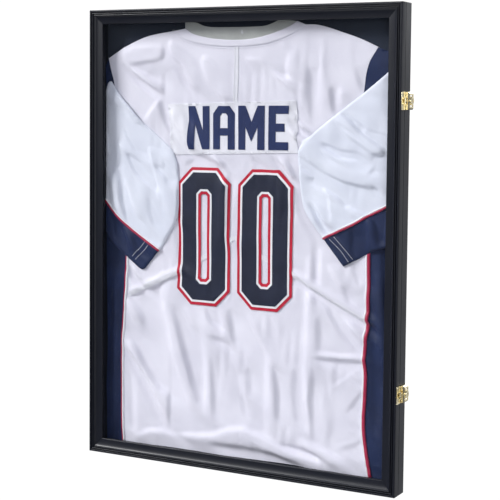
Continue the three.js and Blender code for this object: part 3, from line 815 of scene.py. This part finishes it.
def sleeve_depth(torso, outline, table, seed):
    """The y of a folded sleeve that lies on the torso: its height dies away round the outline."""
    def depth(u, v):
        points = np.stack([u.ravel(), v.ravel()], axis=1)
        under = -torso.read(torso.places, points)[:, 1].reshape(u.shape)
        d, _ = near_path(u, v, outline, closed=True)
        d = np.where(inside(u, v, outline), d, 0.0)
        edge = np.sqrt(np.clip(1 - (1 - np.clip(d / SLEEVE_ROUNDING, 0, 1)) ** 2, 0, 1))
        own = 0.7 * ripples(u, v, seed, 40, lean=30, spread=0.6)
        own = own + 0.5 * ripples(u, v, seed + 1, 95, spread=2.0)
        height = SLEEVE_LEVEL + SLEEVE_THICKNESS * edge + edge * (1.5 * folds(u, v, table) + own)
        return -limited(np.maximum(height, under + 0.8 + 1.6 * edge), SLEEVE_LOWEST, SLEEVE_HIGHEST)
    return depth


def make_piece(name, places, faces, material):
    """A smooth-shaded mesh piece of the jersey, from places in millimetres. It rides on the case."""
    mesh = bpy.data.meshes.new(name)
    mesh.from_pydata((np.asarray(places) * MM).tolist(), [], [tuple(map(int, f)) for f in faces])
    mesh.polygons.foreach_set("use_smooth", [True] * len(mesh.polygons))
    mesh.materials.append(material)
    mesh.update()
    piece = bpy.data.objects.new(name, mesh)
    bpy.context.scene.collection.objects.link(piece)
    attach(piece, "case")
    return piece


def cut_flat(outline, holes=(), step=4.0):
    """Flat triangles that fill an outline and leave its holes open."""
    loops = [np.array(loop, float) for loop in (outline, *holes)]
    points, edges = [], []
    for loop in loops:
        first, count = len(points), len(loop)
        points += [Vector(p) for p in loop]
        edges += [(first + k, first + (k + 1) % count) for k in range(count)]
    low, high = loops[0].min(0), loops[0].max(0)
    rows = np.arange(low[1], high[1], step * 0.866)
    u, v = np.meshgrid(np.arange(low[0], high[0], step), rows, indexing="ij")
    u = u + 0.5 * step * (np.arange(len(rows)) % 2)[None, :]
    keep = inside(u, v, loops[0])
    for loop in loops:
        keep &= near_path(u, v, loop, closed=True)[0] > 0.5 * step
    for hole in loops[1:]:
        keep &= ~inside(u, v, hole)
    points += [Vector(p) for p in zip(u[keep], v[keep])]
    found, _, triangles, *_ = delaunay_2d_cdt(points, edges, [], 0, 1e-5)
    flat = np.array([tuple(p) for p in found])
    triangles = np.array([t for t in triangles if len(t) == 3])
    middle = flat[triangles].mean(axis=1)
    keep = inside(middle[:, 0], middle[:, 1], loops[0])
    for hole in loops[1:]:
        keep &= ~inside(middle[:, 0], middle[:, 1], hole)
    triangles = triangles[keep]
    a, b, c = (flat[triangles[:, k]] for k in range(3))
    turned = np.cross(b - a, c - a) < 0
    triangles[turned] = triangles[turned][:, ::-1]
    used, triangles = np.unique(triangles, return_inverse=True)
    return flat[used], triangles.reshape(-1, 3)


def add_rim(flat, lift, faces, rings):
    """Turns the edges down. Each ring is the cut edge again, moved outwards by its first number and raised
    by its second."""
    directed = {(t[k], t[(k + 1) % 3]) for t in faces for k in range(3)}
    border = [(a, b) for a, b in directed if (b, a) not in directed]
    border.sort()
    outward = np.zeros_like(flat)
    for a, b in border:
        along = flat[b] - flat[a]
        outward[[a, b]] += np.array([along[1], -along[0]]) / (np.linalg.norm(along) + 1e-9)
    members = sorted({a for edge in border for a in edge})
    size = np.linalg.norm(outward[members], axis=1)[:, None]
    direction = outward[members] / np.maximum(size, 1e-9)
    faces = [tuple(t) for t in faces]
    last = {m: m for m in members}
    flats, lifts, count = [flat], [lift], len(flat)
    for outset, ring_lift in rings:
        flats.append(flat[members] + direction * outset)
        lifts.append(np.full(len(members), ring_lift))
        new = {m: count + k for k, m in enumerate(members)}
        faces += [(last[b], last[a], new[a], new[b]) for a, b in border]
        last, count = new, count + len(members)
    return np.vstack(flats), np.concatenate(lifts), faces


EDGE = ((0.25, 0.0), (0.4, -0.3), (0.2, -0.8))  # a cut edge: a crisp corner, then down
SEAM_EDGE = ((0.2, 0.0), (0.4, -0.35))
DIGIT_EDGE = ((0.15, 0.0), (0.25, -0.25), (0.1, -0.9))
BINDING_EDGE = ((0.5, -0.3), (0.3, -1.4))
TUCKED_EDGE = ((0.3, -0.1), (0.6, -1.0), (-0.6, -2.2), (-5.6, -2.6))  # folded back under the cloth


def sew(name, cloth, outline, material, holes=(), step=4.0, lift=0.0, rings=EDGE):
    """A piece of cloth cut to an outline and laid on a cloth surface, with its edge turned down."""
    flat, faces = cut_flat(outline, holes, step)
    flat, lifts, faces = add_rim(flat, np.zeros(len(flat)), faces, rings)
    return make_piece(name, cloth.at(flat, lifts + lift), faces, material)


def tube(places, radius, sides=8, flat=1.0):
    """Places and faces of a closed tube that runs along places. Its depth is flat times its width."""
    places = np.asarray(places, float)
    along = np.gradient(places, axis=0)
    along /= np.linalg.norm(along, axis=1)[:, None]
    front = np.array([0.0, -1.0, 0.0])
    side = np.cross(along, front)
    side /= np.linalg.norm(side, axis=1)[:, None]
    out = np.cross(side, along)
    angles = np.arange(sides) * 2 * math.pi / sides
    across, deep = np.cos(angles)[None, :, None], flat * np.sin(angles)[None, :, None]
    ring = side[:, None] * across + out[:, None] * deep
    radius = np.broadcast_to(np.asarray(radius, float), len(places))[:, None, None]
    points = (places[:, None] + radius * ring).reshape(-1, 3)
    faces = []
    for k in range(len(places) - 1):
        for s in range(sides):
            a, b = k * sides + s, k * sides + (s + 1) % sides
            faces.append((a, b, b + sides, a + sides))
    last = (len(places) - 1) * sides
    faces.append(tuple(reversed(range(sides))))
    faces.append(tuple(last + s for s in range(sides)))
    return points, faces


def gathered(parts):
    """Several (places, faces) as one."""
    points, faces, count = [], [], 0
    for more, their in parts:
        points.append(more)
        faces += [tuple(i + count for i in f) for f in their]
        count += len(more)
    return np.vstack(points), faces


def piping(name, cloth, path, material, radius, flat=1.0):
    """A cord sewn along a path."""
    points, faces = tube(cloth.at(smooth_path(path, 2.5), PIPING_LIFT), radius, flat=flat)
    return make_piece(name, points, faces, material)


def stitches(name, cloth, paths, lift, radius=0.32):
    """Rows of separate stitches: short rounded threads that sink into the cloth at both ends."""
    parts = []
    profile = [(0.0, 0.45, -0.2), (0.25, 1.0, 0.12), (0.75, 1.0, 0.12), (1.0, 0.45, -0.2)]
    for path in paths:
        path = smooth_path(path, 1.0)
        run = np.concatenate([[0.0], np.cumsum(np.linalg.norm(np.diff(path, axis=0), axis=1))])
        for start in np.arange(0.0, run[-1] - STITCH_LENGTH, STITCH_PITCH):
            way = [start + share * STITCH_LENGTH for share, _, _ in profile]
            flat = np.stack([np.interp(way, run, path[:, 0]), np.interp(way, run, path[:, 1])], axis=1)
            rise = np.array([lift + height for _, _, height in profile])
            width = np.array([radius * share for _, share, _ in profile])
            parts.append(tube(cloth.at(flat, rise), width, sides=5))
    points, faces = gathered(parts)
    return make_piece(name, points, faces, WHITE_THREAD)


# ---- the jersey's pattern ----

NECK_SEAM = [(-140, 361), (-133, 360), (-118, 349), (-98, 342), (-70, 337), (-35, 334), (-10, 334),
             (30, 336), (58, 341), (90, 352), (119, 368)]
BINDING_TOP = [(-114, 365), (-99, 356), (-76, 350), (-49, 346), (-14, 344), (20, 346), (53, 353), (88, 365),
               (104, 374)]
COLLAR_TOP = [(-114, 377), (-92, 375), (-76, 369), (-56, 366.5), (-15, 366), (13, 366), (40, 367), (56, 371),
              (72, 378)]
LEFT_SHOULDER = [(-140, 361), (-170, 357), (-198, 351), (-236, 336), (-274, 315)]
RIGHT_SHOULDER = [(249, 329), (220, 342), (192, 352), (146, 366), (119, 368)]
LEFT_ARMHOLE = [(-274, 315), (-268, 290), (-262, 262), (-250, 160), (-228, 60)]
RIGHT_ARMHOLE = [(236, 60), (232, 150), (224, 255), (232, 300), (249, 329)]
LEFT_PIPING = [(-228, 60), (-233, 0), (-237, -42), (-241, -106), (-247, -179), (-248, -252), (-247, -320),
               (-244, -379)]
RIGHT_PIPING = [(236, 60), (239, -8), (239, -119), (234, -177), (237, -218), (234, -285), (239, -335),
                (248, -379)]
HEM = [(-244, -379), (-120, -378), (0, -379), (120, -378), (248, -379)]
LEFT_OUTER = [(-281, 302), (-280, 180), (-280, 60), (-279, -80), (-277, -180), (-279, -280), (-278, -379)]
RIGHT_OUTER = [(281, 318), (280, 180), (280, 60), (278, -100), (279, -200), (277, -300), (279, -379)]
LEFT_SEAM = [(-230, -108), (-190, -88), (-152, -71), (-115, -54), (-52, -17), (-33, -5), (-12, 8)]
RIGHT_SEAM = [(-12, 8), (31, -19), (98, -49), (151, -78), (236, -118)]
CENTRE_SEAM = [(-12, 333), (-12, 290), (-13, 240)]

# Each sleeve and each cuff is a list of spans that meet at corners. The wrist is the span that the two share.
LEFT_WRIST = [(-166, -26), (-178, -19), (-210, 0), (-237, 18), (-258, 36), (-281, 60)]
RIGHT_WRIST = [(156, 13), (180, 25), (210, 39), (238, 55), (266, 69), (280, 76)]
LEFT_SLEEVE = [
    [(-280, 258), (-276, 270), (-270, 274), (-264, 267)],
    [(-264, 267), (-250, 250), (-225, 225), (-200, 200), (-184, 188), (-152, 163), (-138, 150), (-129, 130)],
    [(-129, 130), (-126, 90), (-126, 50), (-129, 34), (-147, 2), (-166, -26)],
    LEFT_WRIST,
    [(-281, 60), (-280, 120), (-280, 200), (-280, 258)],
]
RIGHT_SLEEVE = [
    [(279, 300), (267, 288), (225, 255), (184, 225), (150, 200), (131, 184)],
    [(131, 184), (119, 176), (107, 158)],
    [(107, 158), (109, 130), (112, 100), (119, 64), (134, 40), (156, 13)],
    RIGHT_WRIST,
    [(280, 76), (281, 190), (279, 300)],
]
LEFT_CUFF = [
    LEFT_WRIST,
    [(-281, 60), (-280, 30), (-281, 4)],
    [(-281, 4), (-270, -13), (-238, -38), (-207, -60)],
    [(-207, -60), (-201, -62), (-195, -59)],
    [(-195, -59), (-176, -36), (-166, -26)],
]
RIGHT_CUFF = [
    [(156, 13), (172, -6), (193, -31)],
    [(193, -31), (214, -20), (239, -6), (266, 3), (280, 6)],
    [(280, 6), (281, 40), (280, 76)],
    RIGHT_WRIST[::-1],
]
CUFF_STITCHES = {
    "left": [[(-195, -12), (-222, -40)], [(-188, -18), (-216, -46)]],
    "right": [[(168, 13), (190, -6), (205, -24)], [(175, 17), (196, -2), (213, -20)]],
}

DIGIT_BOTTOM, DIGIT_TOP = -115.0, 126.0
DIGIT_SPANS = [(-127.0, -22.0), (-7.0, 98.0)]
DIGIT_STROKE, DIGIT_CHAMFER = 46.0, 27.0
RED_BORDER, WHITE_BORDER = 5.2, 3.8

LETTER_GAP = 8.0
LETTER_START, LETTER_SLOPE = (-107.0, 158.0), 0.012
TALL = 74.0  # a letter's height
STEM = 13.0  # its stroke
# Each letter is its width, its outline and the outline of its hole.
LETTERS = [
    (42, [(0, 0), (0, TALL), (STEM, TALL), (42 - STEM, 30), (42 - STEM, TALL), (42, TALL), (42, 0),
          (42 - STEM, 0), (STEM, TALL - 30), (STEM, 0)], []),
    (42, [(0, 0), (0, TALL - 13), (10, TALL), (32, TALL), (42, TALL - 13), (42, 0), (42 - STEM, 0),
          (42 - STEM, 24), (STEM, 24), (STEM, 0)],
     [(STEM, 36), (42 - STEM, 36), (42 - STEM, TALL - 17), (25, TALL - 12), (17, TALL - 12),
      (STEM, TALL - 17)]),
    (50, [(0, 0), (0, TALL), (STEM, TALL), (25, 46), (50 - STEM, TALL), (50, TALL), (50, 0), (50 - STEM, 0),
          (50 - STEM, 40), (25, 14), (STEM, 40), (STEM, 0)], []),
    (37, [(0, 0), (0, TALL), (37, TALL), (37, TALL - STEM), (STEM, TALL - STEM), (STEM, 44), (30, 44),
          (30, 31), (STEM, 31), (STEM, STEM), (37, STEM), (37, 0)], []),
]
NAMEPLATE = [(-150, 235), (102, 243), (107, 156), (-142, 147)]


def split_long(loop, step):
    """A closed outline with points added along its long straight sides."""
    found = []
    for a, b in zip(np.array(loop, float), np.roll(np.array(loop, float), -1, axis=0)):
        count = max(1, int(round(np.linalg.norm(b - a) / step)))
        found += [a + (b - a) * k / count for k in range(count)]
    return np.array(found)


def octagon(left, right, bottom, top, chamfer):
    """A rectangle with its corners cut off."""
    c = chamfer
    return [(left + c, bottom), (right - c, bottom), (right, bottom + c), (right, top - c), (right - c, top),
            (left + c, top), (left, top - c), (left, bottom + c)]


def block_zero(left, right, inset):
    """Outline and counter of a block numeral 0, with both edges moved in by inset."""
    corner = 0.586 * inset

    def ring(inwards, chamfer):
        low, high = DIGIT_BOTTOM + inwards, DIGIT_TOP - inwards
        return split_long(octagon(left + inwards, right - inwards, low, high, chamfer), 4.0)

    return ring(inset, DIGIT_CHAMFER - corner), ring(DIGIT_STROKE - inset, 3.0 + corner)


def make_digits(torso):
    """Two zeros, each of three layers of twill, of which the lower ones show as its borders."""
    pieces = []
    layers = (
        ("red", DIGIT_RED, 0.0, 1.3),
        ("white", DIGIT_WHITE, RED_BORDER, 1.8),
        ("navy", DIGIT_NAVY, RED_BORDER + WHITE_BORDER, 2.3),
    )
    for number, (left, right) in enumerate(DIGIT_SPANS, 1):
        for colour, material, inset, lift in layers:
            outer, inner = block_zero(left, right, inset)
            name = f"jersey_digit_{number}_{colour}"
            pieces.append(sew(name, torso, outer, material, [inner], lift=lift, rings=DIGIT_EDGE))
    return pieces


def make_nameplate(torso):
    """The patch with two rows of stitches round it, and the letters on it."""
    corners = np.array(NAMEPLATE, float)
    pieces = [sew("jersey_nameplate", torso, split_long(corners, 4.0), PLATE_WHITE, lift=0.9)]
    middle = corners.mean(axis=0)
    rows = []
    for share in (0.985, 0.93):
        shrunk = middle + (corners - middle) * np.array([1 - (1 - share) * 0.45, share])
        rows += [[shrunk[k], shrunk[(k + 1) % 4]] for k in range(4)]
    pieces.append(stitches("jersey_nameplate_stitches", torso, rows, lift=1.0))
    first_u, first_v = LETTER_START
    start_u = first_u

    def placed(loop):
        u, v = np.array(loop, float).T
        u = start_u + u
        return split_long(np.stack([u, first_v + v + LETTER_SLOPE * (u - first_u)], axis=1), 3.0)

    for number, (width, outline, hole) in enumerate(LETTERS, 1):
        holes = [placed(hole)] if hole else []
        name = f"jersey_letter_{number}"
        pieces.append(sew(name, torso, placed(outline), LETTER_NAVY, holes, step=3.0, lift=1.6))
        start_u += width + LETTER_GAP
    return pieces


def make_collar(torso):
    binding = joined(NECK_SEAM, BINDING_TOP[::-1])
    collar = joined(BINDING_TOP, COLLAR_TOP[::-1])
    pieces = [
        sew("jersey_collar", torso, collar, COLLAR_GREY, step=3.0, lift=0.3),
        sew("jersey_neck_binding", torso, binding, WHITE, step=3.0, lift=1.1, rings=BINDING_EDGE),
    ]
    rows = [offset_path(smooth_path(NECK_SEAM), side) for side in (2.2, -3.0)]
    return pieces + [stitches("jersey_neck_stitches", torso, rows, lift=1.0)]


def make_seams(torso):
    """Felled seams: a narrow band of cloth folded over, held by two rows of stitches."""
    rows, pieces = [], []
    for name, path, half, lift in (
        ("left", LEFT_SEAM, 3.8, 0.8),
        ("right", RIGHT_SEAM, 3.8, 0.8),
        ("centre", CENTRE_SEAM, 4.2, 0.3),
    ):
        line = smooth_path(path)
        band = np.vstack([offset_path(line, half), offset_path(line, -half)[::-1]])
        name = f"jersey_seam_{name}"
        pieces.append(sew(name, torso, band, PLATE_WHITE, step=3.0, lift=lift, rings=SEAM_EDGE))
        rows += [offset_path(line, side) for side in (half - 1, 1 - half)]
    return pieces + [stitches("jersey_seam_stitches", torso, rows, lift=0.7)]


def make_side_piping(side, torso, path):
    """A red cord in the side seam, plump on the right and half hidden on the left, and a white one inside."""
    inward = {"left": 1.0, "right": -1.0}[side]
    red_half = {"left": 1.4, "right": 2.9}[side]
    white_half = {"left": 2.0, "right": 1.6}[side]
    line = smooth_path(path)
    red = offset_path(line, inward * 0.6 * red_half)
    white = offset_path(line, inward * (1.5 * red_half + 0.8 * white_half))
    return [
        piping(f"jersey_piping_{side}_red", torso, red, PIPING_RED, red_half, flat=0.6),
        piping(f"jersey_piping_{side}_white", torso, white, PIPING_WHITE, white_half, flat=0.7),
    ]


def make_body(torso):
    outline = joined(NECK_SEAM, RIGHT_SHOULDER[::-1], RIGHT_ARMHOLE[::-1], RIGHT_PIPING, HEM[::-1],
                     LEFT_PIPING[::-1], LEFT_ARMHOLE[::-1], LEFT_SHOULDER[::-1])
    body = sew("jersey_body", torso, outline, WHITE, step=3.0)
    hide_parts("jersey_torso")
    extras = make_collar(torso) + make_seams(torso) + make_nameplate(torso) + make_digits(torso)
    for side, path in (("left", LEFT_PIPING), ("right", RIGHT_PIPING)):
        extras += make_side_piping(side, torso, path)


def make_side_panel(side, torso, armhole, seam, outer):
    """The navy panel beside the body, from the shoulder to the hem. The sleeve lies over its middle."""
    hem = [seam[-1], outer[-1]]
    top = [outer[0], armhole[0]]
    outline = joined(armhole, seam, hem, outer[::-1], top)
    panel = sew(f"jersey_side_panel_{side}", torso, outline, NAVY, step=4.0, lift=-0.3)


def make_far_layer():
    """The jersey's far layer, which hangs against the board behind the hanger."""
    rear = Cloth((-290, 290), (-390, 390), 10.0, lambda u, v: -7.6 - 0.25 * (1 + ripples(u, v, 31, 60) / 3))
    neck = [(-140, 361), (-120, 325), (-60, 290), (0, 280), (60, 290), (110, 330), (119, 368)]
    left = [(-274, 315), (-262, 262), (-279, 60), (-278, -379)]
    right = [(279, -379), (280, 60), (224, 255), (249, 329)]
    outline = joined(neck, RIGHT_SHOULDER[::-1], right[::-1], [(279, -379), (-278, -379)], left[::-1],
                     LEFT_SHOULDER[::-1])
    layer = sew("jersey_far_layer", rear, outline, WHITE, step=10.0, rings=((0.0, -0.4),))


def outline_of_both(sleeve_spans, cuff_spans, side):
    """The outline round a sleeve and its cuff together."""
    if side == "left":
        return joined(*sleeve_spans[:3], *[span[::-1] for span in cuff_spans[:0:-1]], sleeve_spans[4])
    return joined(*sleeve_spans[:3], *cuff_spans[:3], sleeve_spans[4])


def make_sleeve(side, torso, sleeve_spans, cuff_spans, table, seed):
    """A folded sleeve with its cuff, piping and cuff stitching, laid on the torso."""
    sleeve_outline = joined(*sleeve_spans)
    cuff_outline = joined(*cuff_spans)
    whole = outline_of_both(sleeve_spans, cuff_spans, side)
    low, high = whole.min(0) - 6, whole.max(0) + 6
    cloth = Cloth((low[0], high[0]), (low[1], high[1]), 2.0, sleeve_depth(torso, whole, table, seed))
    name = f"jersey_sleeve_cloth_{side}"
    sleeve = sew(name, cloth, sleeve_outline, SLEEVE_WHITE, step=2.5, rings=TUCKED_EDGE)
    name = f"jersey_cuff_{side}"
    cuff = sew(name, cloth, cuff_outline, NAVY, step=2.5, lift=-0.1, rings=TUCKED_EDGE)
    red = smooth_path({"left": LEFT_WRIST, "right": RIGHT_WRIST}[side])
    white = offset_path(red, {"left": -2.8, "right": 2.8}[side])
    extras = [
        piping(f"{name}_piping_red", cloth, red, PIPING_RED, radius=1.9),
        piping(f"{name}_piping_white", cloth, white, PIPING_WHITE, radius=1.4),
    ]
    extras.append(stitches(f"{name}_stitches", cloth, CUFF_STITCHES[side], lift=0.25, radius=0.5))
    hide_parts(f"jersey_sleeve_{side}")


def make_jersey():
    torso = Cloth((-291, 291), (-387, 387), 3.0, torso_depth)
    settle(torso)
    make_body(torso)
    make_side_panel("left", torso, LEFT_ARMHOLE, LEFT_PIPING, LEFT_OUTER)
    make_side_panel("right", torso, RIGHT_ARMHOLE[::-1], RIGHT_PIPING, RIGHT_OUTER)
    make_far_layer()
    make_sleeve("left", torso, LEFT_SLEEVE, LEFT_CUFF, LEFT_SLEEVE_FOLDS, 41)
    make_sleeve("right", torso, RIGHT_SLEEVE, RIGHT_CUFF, RIGHT_SLEEVE_FOLDS, 51)


make_camera()
make_lights()
make_world()
make_floor()
finish_parts()
make_jersey()
bpy.context.scene.view_settings.view_transform = "Standard"
